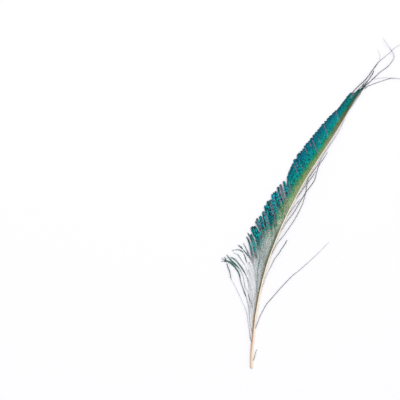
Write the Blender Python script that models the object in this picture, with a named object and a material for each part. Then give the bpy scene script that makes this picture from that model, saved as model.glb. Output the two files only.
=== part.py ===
# A single side feather of a peacock's train, lying on a surface: a bowed shaft with its cut quill, a
# closed web and an open fan of barbs along its left side, and the loose barbs that stand apart.
# The numbers below are millimetres: X to the right, Y up the feather from the quill, Z up.
# The origin is on the flat underside of the quill, a little above its cut end.
import math

import bmesh
import bpy
import numpy as np
from mathutils import Vector

MILLIMETRE = 0.001
GAP = 0.35                      # clear space between neighbouring pieces

# the shaft, from the quill's cut end to the tip
SHAFT_ROUTE = [(0, -6), (0, 8), (1.35, 22), (3.15, 42), (6.35, 62), (10.7, 82), (16.5, 102),
               (24.05, 122), (32.7, 142), (42.7, 162), (53.6, 182), (66.05, 202), (79.3, 222),
               (91.2, 242), (103, 262), (112, 273.5)]
SHAFT_HALF_WIDTH = [(-6, 1.35), (22, 1.4), (62, 1.2), (102, 1.0), (142, 0.8), (192, 0.62),
                    (242, 0.54), (273.5, 0.4)]
SHAFT_SIDES = 8
SHAFT_RING_SPACING = 6.5
ARCH_START, ARCH_END = 10, 300  # the arch leaves the surface here, and would meet it again there
ARCH_HEIGHT = 3.0               # the most that the shaft stands clear of the surface
ARCH_POWER = 1.3                # above 1 the arch begins more gently

# the barbs that make the two sheets: height up the shaft of a barb's root, then its tip
FAN_BARBS = [(36, -0.9, 58), (44, -1.6, 70), (51, -3.1, 81), (57, -4.2, 90), (63, -5.5, 99),
             (69, -7.7, 110), (75, -8.3, 119), (81, -5.3, 125.5), (87, -3.5, 130.5),
             (94, -0.5, 136), (102, 3, 141.5), (110, 6.5, 146), (119, 10.5, 151.5),
             (127, 13.3, 157.5), (135, 17.5, 164), (143, 23, 171.5), (151, 28.5, 177.5),
             (157, 32.5, 182)]
WEB_BARBS = [(158, 33.5, 182.8), (165, 35.8, 190.5), (172, 39, 195.7), (179, 42.5, 202.2),
             (185, 45.8, 208), (192, 50, 211.7), (199, 54.8, 218.3), (206, 59.8, 224.4),
             (213, 64.9, 229.5), (220, 70.3, 236.4), (227, 75, 242), (234, 80, 247),
             (241, 85.2, 251.8), (247, 88.5, 255), (252, 90.5, 258.5), (257, 94.3, 263.4),
             (262, 97.5, 267.5), (265, 100.5, 269.2)]
SHEET_THICKNESS = 0.8
SHEET_GAP = 0.45                # from the shaft to a sheet's middle line
SHEET_ROWS = 30
SHEET_COLUMNS = 6
SHEET_DROOP = 1.6               # power of the fall from the shaft to the outer edge

# the loose barbs: root is the height up the shaft where one leaves it, or the height above the
# surface of one that parts from the fan's edge; tip is the height of its free end
BARB_SIDES_LEVEL = 1            # six sides round
BARB_POINT_SPACING = 5.0
CURVE_STEPS = 12                # straight steps between two points of a smooth line
SLOPE_REACH = 0.5               # the shaft's direction is taken between points this far up and down
LEFT_BARBS = [
    {"root": 20, "side": -1, "radius": (0.4, 0.3), "tip": 2.2, "fall": 1.0,
     "route": [(-1.1, 24.5), (-1.8, 29.5), (-2.6, 35), (-3.7, 42), (-5.2, 51), (-8, 57.5),
               (-12.2, 67), (-17, 77), (-19.2, 81), (-21, 87), (-22.8, 93.3), (-24.5, 98.7)]},
    {"root": 30, "side": -1, "radius": (0.45, 0.35), "tip": 1.2, "fall": 1.0,
     "route": [(-0.9, 36), (-1.9, 44), (-2.6, 52), (-3.6, 58.5), (-5.2, 65), (-7.7, 71.5),
               (-10, 77.5), (-11.7, 84), (-13, 88.5), (-15.2, 92.7), (-17.5, 96), (-20.5, 98.7),
               (-24, 100.6), (-27.5, 101), (-30.5, 100.5)]},
    {"root": 0.6, "side": 0, "radius": (0.4, 0.3), "tip": 2.4, "fall": 1.4,
     "route": [(-2.3, 64), (-3.9, 71), (-5.3, 76), (-6.7, 81), (-9, 87), (-11, 91), (-14, 95.2),
               (-16.5, 98), (-19.2, 100.5), (-21, 102.5), (-23, 105), (-25.5, 107.5)]},
    {"root": 0.6, "side": 0, "radius": (0.4, 0.3), "tip": 1.6, "fall": 1.4,
     "route": [(-4.3, 83), (-5.9, 87.5), (-7.3, 90.3), (-9, 93), (-11.5, 96), (-14, 99.3),
               (-16, 102), (-18.5, 103.7), (-20.7, 105.1)]},
    {"root": 0.6, "side": 0, "radius": (0.35, 0.3), "tip": 1.8, "fall": 1.4,
     "route": [(-6, 95.7), (-8, 99), (-10.5, 102.5), (-12.2, 105.5), (-14, 107.5),
               (-16.5, 108.8), (-18.3, 109.4)]},
    {"root": 0.6, "side": 0, "radius": (0.4, 0.3), "tip": 1.4, "fall": 1.4,
     "route": [(-8.4, 109.4), (-9.7, 110.8), (-11.5, 111.8), (-14.5, 112.4), (-17.5, 111.7),
               (-19.5, 111)]},
    {"root": 0.6, "side": 0, "radius": (0.4, 0.3), "tip": 1.6, "fall": 1.4,
     "route": [(-8.8, 112.8), (-11, 115.3), (-13, 116.8)]},
]
RIGHT_BARBS = [
    {"root": 0.5, "side": 1, "radius": (0.35, 0.3), "tip": 2.0, "fall": 1.0,
     "route": [(3, 5), (3.8, 9), (5.5, 13)]},
    {"root": 33, "side": 1, "radius": (0.4, 0.3), "tip": 1.2, "fall": 1.0,
     "route": [(6.7, 41), (8.5, 46), (11.3, 51.5), (15, 58), (18.5, 62), (28.5, 73.5),
               (40.5, 86), (48.5, 92.5), (63.5, 106), (77.5, 120)]},
    {"root": 74, "side": 1, "radius": (0.4, 0.3), "tip": 2.0, "fall": 1.0,
     "route": [(12.1, 79), (13.7, 84), (15.8, 89), (18.5, 94.3), (20.7, 98.5), (23.5, 104),
               (27.5, 109), (29.5, 112.5), (32, 116), (35.5, 122)]},
    {"root": 107, "side": 1, "radius": (0.38, 0.3), "tip": 2.2, "fall": 1.0,
     "route": [(22.9, 114), (24.9, 117.5), (27, 120.5), (29.5, 123.5), (33, 128), (37.5, 134.5),
               (42, 141), (46, 148), (48.5, 153), (51.2, 159), (52.7, 164), (53.8, 168.5),
               (54.5, 172), (54.8, 175.5), (55.9, 178.7), (57.5, 181.3), (60.5, 185),
               (62.2, 187.7), (64.5, 191.2)]},
    {"root": 131, "side": 1, "radius": (0.38, 0.3), "tip": 1.0, "fall": 3.0,
     "route": [(31.5, 134.5), (33.5, 138), (36, 141.5), (38.8, 145), (41, 148), (43.5, 151.5),
               (45.5, 155), (47.5, 158.5), (49.3, 161.5), (51.2, 164.7), (53, 167.5), (54.5, 170),
               (56, 172), (58, 174.5), (60.5, 178), (62.5, 181), (63.7, 184), (64.7, 188),
               (65.7, 191.5), (66.5, 194.5), (68.5, 198.5), (72.5, 204), (76.2, 210)]},
    {"root": 146, "side": 1, "radius": (0.36, 0.3), "tip": 5.4, "fall": 1.0,
     "route": [(39.6, 151.5), (41.4, 153.9), (43.2, 156.3), (45.3, 159), (47.1, 161.2),
               (48.8, 163.2)]},
    {"root": 163.5, "side": 1, "radius": (0.36, 0.28), "tip": 2.4, "fall": 1.2,
     "route": [(46.5, 166.4), (48.2, 168.8), (50.5, 172), (52.5, 174.8), (54.2, 177.6), (55.5, 181),
               (56.8, 183.7), (58.2, 186), (59.7, 188), (62.8, 192.5), (65.7, 196.5),
               (68.2, 200.7), (70.5, 205), (73.4, 210), (76.2, 214), (79, 218), (82, 222.5),
               (85, 227), (88, 232.3), (90.5, 237.7), (92.9, 242.5)]},
    {"root": 254, "side": 1, "radius": (0.34, 0.28), "tip": 1.4, "fall": 1.0,
     "route": [(102.6, 258), (104.6, 261), (107.2, 264.8), (109.5, 267.8)]},
]
TIP_BARBS = [
    {"root": 1.6, "side": 0, "radius": (0.35, 0.28), "tip": 1.0, "fall": 1.0,
     "route": [(101.4, 270.4), (103, 272), (105, 274), (107, 276), (109, 278), (111, 279.6),
               (113, 281.5), (114.5, 283.1), (116, 285), (117.6, 286.8), (119, 289.2),
               (120.5, 291.3), (122, 293.2), (123.7, 295.6), (125.2, 297.6), (127, 300),
               (132.5, 304.5), (138.5, 309.5), (143, 314), (148.5, 317), (151.5, 318.4)]},
    {"root": 1.0, "side": 0, "radius": (0.3, 0.26), "tip": 2.2, "fall": 1.0,
     "route": [(127.6, 302.1), (128.3, 304), (128, 308), (125.5, 313)]},
    {"root": 0.7, "side": 0, "radius": (0.34, 0.28), "tip": 4.0, "fall": 1.0,
     "route": [(112.5, 274.3), (114.5, 277.2), (117, 279), (119, 280.7), (120.8, 282.4),
               (124.5, 286), (127.5, 289), (135.5, 295), (139.5, 299.5), (142, 303.5), (142, 307),
               (140, 310.5), (135.5, 317), (130.5, 324)]},
    {"root": 1.4, "side": 0, "radius": (0.3, 0.26), "tip": 2.4, "fall": 1.0,
     "route": [(122.4, 282.6), (125.5, 283.4), (130.5, 284), (134.5, 284.5), (136, 284.6)]},
    {"root": 0.7, "side": 0, "radius": (0.34, 0.28), "tip": 1.6, "fall": 1.0,
     "route": [(113.1, 272.8), (114.8, 274.6), (117, 276.2), (119.5, 277), (121.5, 278),
               (124, 278.8), (133.5, 282), (137.5, 283), (144.5, 283.5), (148.5, 283),
               (151.5, 282.6)]},
    {"root": 0.8, "side": 0, "radius": (0.32, 0.28), "tip": 1.8, "fall": 1.0,
     "route": [(111.5, 275.1), (113.6, 277.9), (115.4, 280), (116.8, 281.8), (118, 283.4),
               (119.2, 285.2), (120.4, 287), (121.4, 288.6), (122.2, 290.2), (122.6, 291.6)]},
]

FINISHES = {                    # colour, roughness, metallic
    "shaft_ivory": ((0.80, 0.66, 0.44), 0.42, 0.0),
    "web_teal": ((0.01, 0.16, 0.17), 0.38, 0.3),
    "fan_grey_green": ((0.17, 0.24, 0.21), 0.5, 0.1),
    "barb_dark_green": ((0.03, 0.07, 0.06), 0.5, 0.1),
    "barb_grey": ((0.16, 0.16, 0.15), 0.55, 0.0),
}


def clear_scene():
    for thing in list(bpy.data.objects):
        bpy.data.objects.remove(thing, do_unlink=True)


def make_finish(name):
    colour, roughness, metallic = FINISHES[name]
    finish = bpy.data.materials.new(name)
    finish.use_nodes = True
    shader = finish.node_tree.nodes["Principled BSDF"]
    shader.inputs["Base Color"].default_value = (*colour, 1.0)
    shader.inputs["Roughness"].default_value = roughness
    shader.inputs["Metallic"].default_value = metallic
    finish.diffuse_color = (*colour, 1.0)
    return finish


def smooth_curve(points):
    # a dense line on the Catmull-Rom curve through the points
    knots = [np.array(p, float) for p in points]
    knots = [2 * knots[0] - knots[1]] + knots + [2 * knots[-1] - knots[-2]]
    line = []
    for before, start, end, after in zip(knots, knots[1:], knots[2:], knots[3:]):
        for t in np.linspace(0, 1, CURVE_STEPS, endpoint=False):
            line.append(0.5 * (2 * start + (end - before) * t
                               + (2 * before - 5 * start + 4 * end - after) * t ** 2
                               + (3 * start - before - 3 * end + after) * t ** 3))
    line.append(knots[-2])
    return np.array(line)


def along(line):
    # length from the start of a line to each of its points
    steps = np.linalg.norm(np.diff(line, axis=0), axis=1)
    return np.concatenate([[0], np.cumsum(steps)])


def resample(line, spacing):
    length = along(line)
    count = max(3, round(length[-1] / spacing) + 1)
    wanted = np.linspace(0, length[-1], count)
    return np.stack([np.interp(wanted, length, column) for column in line.T], axis=1)


SHAFT_LINE = smooth_curve(SHAFT_ROUTE)


def shaft_x(y):
    return float(np.interp(y, SHAFT_LINE[:, 1], SHAFT_LINE[:, 0]))


def shaft_half_width(y):
    heights, widths = zip(*SHAFT_HALF_WIDTH)
    return float(np.interp(y, heights, widths))


def shaft_z(y):
    # the shaft's centre: its underside lies flat at the quill and is arched from there
    share = min(max((y - ARCH_START) / (ARCH_END - ARCH_START), 0), 1)
    return ARCH_HEIGHT * math.sin(math.pi * share) ** ARCH_POWER + shaft_half_width(y)


def shaft_right(y):
    # unit vector across the shaft, to its right
    run = shaft_x(y + SLOPE_REACH) - shaft_x(y - SLOPE_REACH)
    ahead = Vector((run, 2 * SLOPE_REACH)).normalized()
    return Vector((ahead.y, -ahead.x))


def beside_shaft(y, side, clearance):
    # a point level with the shaft's centre, that far from its surface
    reach = side * (shaft_half_width(y) + clearance)
    right = shaft_right(y)
    return Vector((shaft_x(y) + right.x * reach, y + right.y * reach, shaft_z(y)))


def add_object(name, data, finish):
    piece = bpy.data.objects.new(name, data)
    data.materials.append(finish)
    bpy.context.scene.collection.objects.link(piece)
    return piece


def build_shaft(finish):
    bottom, top = SHAFT_ROUTE[0][1], SHAFT_ROUTE[-1][1]
    rings = resample(SHAFT_LINE, SHAFT_RING_SPACING)
    mesh = bmesh.new()
    last = None
    for x, y in rings:
        y = min(max(y, bottom), top)
        half = shaft_half_width(y)
        across = shaft_right(y)
        corner = half / math.cos(math.pi / SHAFT_SIDES)
        ring = []
        for k in range(SHAFT_SIDES):
            turn = 2 * math.pi * (k + 0.5) / SHAFT_SIDES
            out = corner * math.sin(turn)
            up = corner * math.cos(turn)
            ring.append(mesh.verts.new((x + across.x * out, y + across.y * out, shaft_z(y) + up)))
        if last:
            for k in range(SHAFT_SIDES):
                following = (k + 1) % SHAFT_SIDES
                mesh.faces.new((last[k], ring[k], ring[following], last[following]))
        else:
            mesh.faces.new(ring)
        last = ring
    mesh.faces.new(reversed(last))
    shaft = finish_mesh(mesh, "shaft", finish)
    shaft.data.shade_smooth()
    shaft.data.set_sharp_from_angle(angle=math.radians(60))


def finish_mesh(mesh, name, finish):
    bmesh.ops.scale(mesh, vec=(MILLIMETRE,) * 3, verts=mesh.verts)
    bmesh.ops.recalc_face_normals(mesh, faces=mesh.faces)
    data = bpy.data.meshes.new(name)
    mesh.to_mesh(data)
    mesh.free()
    return add_object(name, data, finish)


def build_sheet(name, barbs, finish):
    # a thin sheet from beside the shaft to the barbs' tips, given its thickness by a modifier
    rows = smooth_curve(barbs)
    length = along(rows[:, 1:])
    wanted = np.linspace(0, length[-1], SHEET_ROWS)
    rows = np.stack([np.interp(wanted, length, column) for column in rows.T], axis=1)
    mesh = bmesh.new()
    grid = []
    for root_y, tip_x, tip_y in rows:
        root = beside_shaft(root_y, -1, SHEET_GAP)
        tip = Vector((tip_x, tip_y, SHEET_THICKNESS / 2))
        row = []
        for column in range(SHEET_COLUMNS + 1):
            share = column / SHEET_COLUMNS
            place = root.lerp(tip, share)
            place.z = tip.z + (root.z - tip.z) * (1 - share ** SHEET_DROOP)
            row.append(mesh.verts.new(place))
        grid.append(row)
    for low, high in zip(grid, grid[1:]):
        for k in range(SHEET_COLUMNS):
            mesh.faces.new((low[k], low[k + 1], high[k + 1], high[k]))
    sheet = finish_mesh(mesh, name, finish)
    thicken = sheet.modifiers.new("thickness", "SOLIDIFY")
    thicken.thickness = SHEET_THICKNESS * MILLIMETRE
    thicken.offset = 0


def build_barb(name, barb, finish):
    # a tapered tube along a smooth line, falling or rising evenly to the height of its tip
    root_radius, tip_radius = barb["radius"]
    route = [tuple(p) for p in barb["route"]]
    start_z = barb["root"]
    if barb["side"]:
        root = beside_shaft(barb["root"], barb["side"], GAP + root_radius)
        route.insert(0, (root.x, root.y))
        start_z = root.z
    line = resample(smooth_curve(route), BARB_POINT_SPACING)
    shares = along(line) / along(line)[-1]
    data = bpy.data.curves.new(name, "CURVE")
    data.dimensions = "3D"
    data.bevel_depth = MILLIMETRE
    data.bevel_resolution = BARB_SIDES_LEVEL
    data.render_resolution_u = 0
    data.use_fill_caps = True
    spline = data.splines.new("POLY")
    spline.points.add(len(line) - 1)
    for point, (x, y), share in zip(spline.points, line, shares):
        z = barb["tip"] + (start_z - barb["tip"]) * (1 - share) ** barb["fall"]
        point.co = (x * MILLIMETRE, y * MILLIMETRE, z * MILLIMETRE, 1)
        point.radius = root_radius + (tip_radius - root_radius) * share
    return add_object(name, data, finish)


def build_barbs(prefix, barbs, finish):
    for number, barb in enumerate(barbs, 1):
        build_barb(f"{prefix}_barb_{number}", barb, finish)


def build_feather():
    clear_scene()
    build_shaft(make_finish("shaft_ivory"))
    build_sheet("fan", FAN_BARBS, make_finish("fan_grey_green"))
    build_sheet("web", WEB_BARBS, make_finish("web_teal"))
    build_barbs("left", LEFT_BARBS, make_finish("barb_dark_green"))
    grey = make_finish("barb_grey")
    build_barbs("right", RIGHT_BARBS, grey)
    build_barbs("tip", TIP_BARBS, grey)


build_feather()
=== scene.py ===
# A side feather of a peacock's train, lying on a pale table: a bowed shaft, a closed web and an open fan
# of barbs along its left side, and the loose barbs that stand apart from them.
# Lengths are millimetres until a mesh is made: X to the right, Y up the feather, Z off the table.
import math

import bpy
import numpy as np
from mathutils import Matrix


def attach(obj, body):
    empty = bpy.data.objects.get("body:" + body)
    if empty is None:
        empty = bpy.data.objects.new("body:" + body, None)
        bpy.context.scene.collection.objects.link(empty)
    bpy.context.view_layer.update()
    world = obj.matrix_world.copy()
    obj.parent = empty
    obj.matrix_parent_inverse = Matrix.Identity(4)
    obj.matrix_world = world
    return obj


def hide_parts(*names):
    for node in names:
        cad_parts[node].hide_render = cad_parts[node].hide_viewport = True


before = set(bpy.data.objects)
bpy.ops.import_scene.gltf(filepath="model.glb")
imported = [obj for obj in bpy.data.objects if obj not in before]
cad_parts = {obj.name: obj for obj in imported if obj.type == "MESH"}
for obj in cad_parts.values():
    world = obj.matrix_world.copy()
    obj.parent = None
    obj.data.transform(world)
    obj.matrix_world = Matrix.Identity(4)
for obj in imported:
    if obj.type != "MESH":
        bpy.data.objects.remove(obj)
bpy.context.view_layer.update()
print("frame loaded,", len(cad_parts), "pieces")

mm = 0.001
up = np.array([0.0, 0.0, 1.0])
body = "root"

# camera, table and light

studio = {
    "lookAt": (-51.5, 162.0),       # middle of the picture
    "pictureWidth": 400.0,
    "lens": 135.0,
    "sensor": 36.0,
    "tableSize": 9000.0,
    "tableDrop": 0.02,              # how far the table stays below the feather
    "tableColour": (0.855, 0.853, 0.88),
    "skyColour": (0.965, 0.965, 1.0),
    "skyStrength": 0.6,
    "lamps": {
        "windowLight": {"at": (350, 840, 3000), "size": 2700, "watts": 64, "colour": (1, 0.995, 0.98)},
        "fillLight": {"at": (-900, -300, 1500), "size": 1000, "watts": 3, "colour": (1, 1, 1)},
    },
}


def makeCamera():
    data = bpy.data.cameras.new("overheadCamera")
    data.lens = studio["lens"]
    data.sensor_width = studio["sensor"]
    data.clip_end = 20
    camera = bpy.data.objects.new("overheadCamera", data)
    distance = studio["pictureWidth"] * studio["lens"] / studio["sensor"]
    x, y = studio["lookAt"]
    camera.location = (x * mm, y * mm, distance * mm)
    bpy.context.scene.collection.objects.link(camera)
    bpy.context.scene.camera = camera


def makeTable():
    half = studio["tableSize"] / 2 * mm
    z = -studio["tableDrop"] * mm
    corners = [(-half, -half, z), (half, -half, z), (half, half, z), (-half, half, z)]
    data = bpy.data.meshes.new("table")
    data.from_pydata(corners, [], [(0, 1, 2, 3)])
    table = bpy.data.objects.new("table", data)
    bpy.context.scene.collection.objects.link(table)
    paint = bpy.data.materials.new("tablePaint")
    paint.use_nodes = True
    shader = paint.node_tree.nodes["Principled BSDF"]
    shader.inputs["Base Color"].default_value = (*studio["tableColour"], 1)
    shader.inputs["Roughness"].default_value = 0.9
    shader.inputs["Specular IOR Level"].default_value = 0.1
    data.materials.append(paint)


def makeLight():
    world = bpy.data.worlds.new("studioSky")
    world.use_nodes = True
    sky = world.node_tree.nodes["Background"]
    sky.inputs["Color"].default_value = (*studio["skyColour"], 1)
    sky.inputs["Strength"].default_value = studio["skyStrength"]
    bpy.context.scene.world = world
    for name, lamp in studio["lamps"].items():
        data = bpy.data.lights.new(name, "AREA")
        data.size = lamp["size"] * mm
        data.energy = lamp["watts"]
        data.color = lamp["colour"]
        light = bpy.data.objects.new(name, data)
        light.location = [v * mm for v in lamp["at"]]
        aim = np.array([*studio["lookAt"], 0]) - np.array(lamp["at"], float)
        light.rotation_euler = (math.acos(-aim[2] / np.linalg.norm(aim)), 0,
                                math.atan2(aim[1], aim[0]) - math.pi / 2)
        bpy.context.scene.collection.objects.link(light)


bpy.context.scene.view_settings.view_transform = "Standard"
makeCamera()
makeTable()
makeLight()
print("camera, table and light made")

# lines in the plane, and the shaft that everything grows from

shaft = {
    "route": [(0, -6), (0, 8), (1.35, 22), (3.15, 42), (6.35, 62), (10.7, 82), (16.5, 102), (24.05, 122),
              (32.7, 142), (42.7, 162), (53.6, 182), (66.05, 202), (79.3, 222), (91.2, 242), (103, 262),
              (112, 273.5)],
    "halfWidth": [(-6, 1.35), (22, 1.4), (62, 1.2), (102, 1), (142, 0.8), (192, 0.62), (242, 0.54),
                  (273.5, 0.4)],
    "archFrom": 10, "archTo": 300, "archHeight": 3.0, "archPower": 1.3,
    "barbSeat": 0.7, "looseSeat": 0.8,  # where barbs are rooted, as a share of the half width
    "footSpacing": 1.4, "footTo": (38, 75),  # the lowest roots stand so many times further apart
    "sides": 28,
    "ringSpacing": 1.6,
    "grooveDepth": 0.34,            # share of the half width, along the underside
    "grooveFrom": (30, 60), "grooveTo": (262, 272),
    "boreShare": 0.55,              # the quill's hollow, as a share of its half width
    "boreDepth": 5.0,
}


def smoothCurve(points, perSpan=12):
    # a dense line on the Catmull-Rom curve through the points
    knots = [np.array(p, float) for p in points]
    knots = [2 * knots[0] - knots[1]] + knots + [2 * knots[-1] - knots[-2]]
    t = np.linspace(0, 1, perSpan, endpoint=False)[:, None]
    line = [0.5 * (2 * b + (c - a) * t + (2 * a - 5 * b + 4 * c - d) * t ** 2
                   + (3 * b - a - 3 * c + d) * t ** 3)
            for a, b, c, d in zip(knots, knots[1:], knots[2:], knots[3:])]
    return np.concatenate(line + [knots[-2][None]])


def lengthAlong(line):
    return np.concatenate([[0], np.cumsum(np.linalg.norm(np.diff(line, axis=0), axis=1))])


def shareAlong(line):
    return lengthAlong(line) / lengthAlong(line)[-1]


def pointsAt(line, lengths):
    marks = lengthAlong(line)
    return np.stack([np.interp(lengths, marks, column) for column in line.T], axis=1)


def resample(line, spacing):
    total = lengthAlong(line)[-1]
    return pointsAt(line, np.linspace(0, total, max(3, round(total / spacing) + 1)))


def unit(vectors):
    return vectors / np.maximum(np.linalg.norm(vectors, axis=-1, keepdims=True), 1e-9)


def directions(line):
    return unit(np.gradient(line, axis=0))


def frameAlong(line):
    # the directions across a line and above it, at each of its points
    ahead = directions(line)
    across = unit(np.cross(ahead, up))
    return across, np.cross(across, ahead)


def ease(values, start, end):
    t = np.clip((np.asarray(values, float) - start) / (end - start), 0, 1)
    return t * t * (3 - 2 * t)


def profile(y, table):
    return np.interp(y, *np.array(table, float).T)


shaftLine = smoothCurve(shaft["route"])


def shaftX(y):
    return np.interp(y, shaftLine[:, 1], shaftLine[:, 0])


def shaftHalf(y):
    return profile(y, shaft["halfWidth"])


def shaftHeight(y):
    share = np.clip((y - shaft["archFrom"]) / (shaft["archTo"] - shaft["archFrom"]), 0, 1)
    return shaft["archHeight"] * np.sin(math.pi * share) ** shaft["archPower"] + shaftHalf(y)


def besideShaft(y, side, share):
    # a point level with the shaft's middle, that share of its half width to one side
    rise = 0.5
    ahead = unit(np.array([shaftX(y + rise) - shaftX(y - rise), 2 * rise]))
    reach = side * shaftHalf(y) * share
    return np.array([shaftX(y) + ahead[1] * reach, y - ahead[0] * reach, shaftHeight(y)])


def stretchLimits(heights, ends):
    # the shaft's stretches between neighbouring lobes or locks, and a little past the first and the last
    return np.concatenate([[heights[0] - ends[0]], (heights[1:] + heights[:-1]) / 2, [heights[-1] + ends[1]]])


def rootsAlong(limits, look, dice):
    # the roots of a vane's barbs: height, number of the stretch, place in it from -1 to 1, point
    y = limits[0]
    while y < limits[-1]:
        n = min(max(int(np.searchsorted(limits, y, side="right")) - 1, 0), len(limits) - 2)
        place = 2 * (y - limits[n]) / (limits[n + 1] - limits[n]) - 1
        yield y, n, place, besideShaft(y, -1, shaft["barbSeat"])
        apart = shaft["footSpacing"] + (1 - shaft["footSpacing"]) * ease(y, *shaft["footTo"])
        y += look["rootSpacing"] * dice.uniform(*look["rootSpread"]) * apart


# meshes

def makePiece(name, points, faces, finish, slot, nodes, marks, uvs=None):
    data = bpy.data.meshes.new(name)
    points = np.asarray(points, np.float32) * mm
    corners = np.concatenate([f.ravel() for f in faces])
    sizes = np.concatenate([np.full(len(f), f.shape[1]) for f in faces])
    data.vertices.add(len(points))
    data.vertices.foreach_set("co", points.ravel())
    data.loops.add(len(corners))
    data.loops.foreach_set("vertex_index", corners.astype(np.int32))
    data.polygons.add(len(sizes))
    data.polygons.foreach_set("loop_start", np.concatenate([[0], np.cumsum(sizes)[:-1]]).astype(np.int32))
    if uvs is not None:
        layer = data.uv_layers.new(name="OFBake")
        layer.data.foreach_set("uv", np.asarray(uvs, np.float32).ravel())
    for mark, values in marks.items():
        data.attributes.new(mark, "FLOAT", "POINT").data.foreach_set("value", np.asarray(values, np.float32))
    data.update(calc_edges=True)
    data.validate()
    data.polygons.foreach_set("use_smooth", np.ones(len(data.polygons), bool))
    data.materials.append(finish)
    piece = bpy.data.objects.new(name, data)
    bpy.context.scene.collection.objects.link(piece)
    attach(piece, body)
    if nodes:
        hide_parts(*nodes)


def newBundle(seed):
    return {"points": [], "faces": [], "uvs": [], "marks": {}, "count": 0, "rows": 0,
            "dice": np.random.default_rng(seed)}


def addToBundle(bundle, points, faces, uvs, **marks):
    bundle["points"].append(points)
    bundle["faces"].append(faces + bundle["count"])
    bundle["uvs"].append(uvs)
    for mark, values in marks.items():
        bundle["marks"].setdefault(mark, []).append(np.broadcast_to(values, len(points)))
    bundle["count"] += len(points)


barbShape = {                       # what all barbs share
    "bareStem": 0.45,               # thickness of the stem where it has no barbules, as a share
    "stemStrip": (0.42, 0.58),      # the stem's part of a barb's row in the UV map
    "vaneStrip": (0.09, 0.3, 0.49),  # a barbule's root, bend and tip there, from the middle of the row
    "jitter": 0.3,                  # of the barbules' spacing
    "aim": 0.4,                     # a barbule's direction comes from this much of the stem, both ways
    "rootFade": 1.6,                # over this length the barbules beside the shaft gain their full length
    "taperLeast": 0.12, "taperPower": 0.6,  # how the barbules shorten towards a barb's tip
    "bareLength": 0.25, "bareChance": 0.15,  # length and number of the barbules where a barb is bare
    "lengths": (0.75, 1.15),
    "beadWaver": 1.3,               # how unevenly the beads are spaced
    "bend": 0.55,                   # where a barbule bends, as a share of its length
    "bendWidth": 0.9,
    "lowest": 0.06,                 # height above the table
}


def addRamus(bundle, barb, look):
    # the barb's own stem: a thin tapered tube, closed at both ends
    sides = look.get("sides", 3)
    line = resample(barb["line"], look.get("stemSpacing", 2.0))
    length = lengthAlong(line)
    across, above = frameAlong(line)
    share = length / length[-1]
    full = np.interp(share, barb["share"], barb["full"])
    bare = barbShape["bareStem"]
    thick = look["ramus"] + (look["ramusTip"] - look["ramus"]) * share
    thick = (thick * (bare + (1 - bare) * full))[:, None]
    turns = [2 * math.pi * k / sides for k in range(sides)]
    rings = np.stack([line + thick * (math.sin(t) * across + math.cos(t) * above) for t in turns], axis=1)
    faces, uvs = [], []
    low = bundle["rows"] + barbShape["stemStrip"][0]
    step = (barbShape["stemStrip"][1] - barbShape["stemStrip"][0]) / sides
    for n in range(len(line) - 1):
        u0, u1 = share[n], share[n + 1]
        for k in range(sides):
            a, b = n * sides + k, n * sides + (k + 1) % sides
            v0, v1 = low + step * k, low + step * (k + 1)
            faces += [(a, a + sides, b + sides), (a, b + sides, b)]
            uvs += [(u0, v0), (u1, v0), (u1, v1), (u0, v0), (u1, v1), (u0, v1)]
    last = (len(line) - 1) * sides
    for k in range(1, sides - 1):
        faces += [(0, k, k + 1), (last, last + k + 1, last + k)]
        uvs += [(0, low), (0.001, low), (0.001, low + step), (1, low), (0.999, low), (0.999, low + step)]
    addToBundle(bundle, rings.reshape(-1, 3), np.array(faces), np.array(uvs),
                toTip=np.repeat(length[-1] - length, sides), full=np.repeat(full, sides),
                reach=0, tone=barb["tone"], shift=barb["shift"])


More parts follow.
